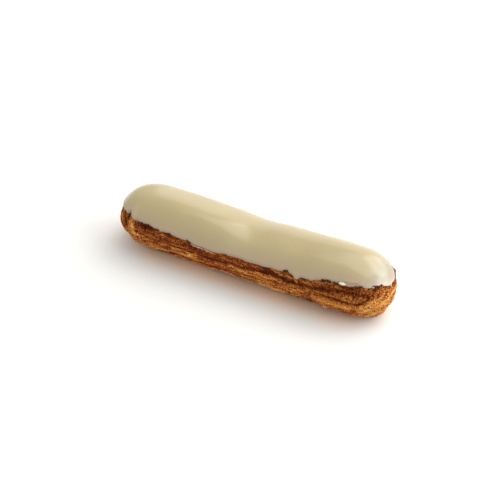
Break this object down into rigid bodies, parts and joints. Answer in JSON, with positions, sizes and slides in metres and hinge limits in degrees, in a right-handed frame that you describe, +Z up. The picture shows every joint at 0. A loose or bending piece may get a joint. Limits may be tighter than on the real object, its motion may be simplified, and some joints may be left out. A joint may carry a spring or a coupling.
{
  "type": "eclair",
  "caption": "Uncut eclair: a long round-ended choux bun with piped ridges along its sides and a smooth cream-coloured fondant cap over its top.",
  "frame": {"origin": "centre of the eclair's footprint, on the flat it rests on", "axes": "+X along the bun towards the end where its icing is highest, +Y across it towards its back, +Z up"},
  "size_m": [0.145, 0.0336, 0.03],
  "materials": {
    "crust": "dry baked choux, dark reddish brown under the icing to golden at the base",
    "icing": "smooth poured fondant, ivory, softly glossy"
  },
  "bodies": {
    "root": {"choux": "crust", "icing": "icing"}
  },
  "joints": []
}
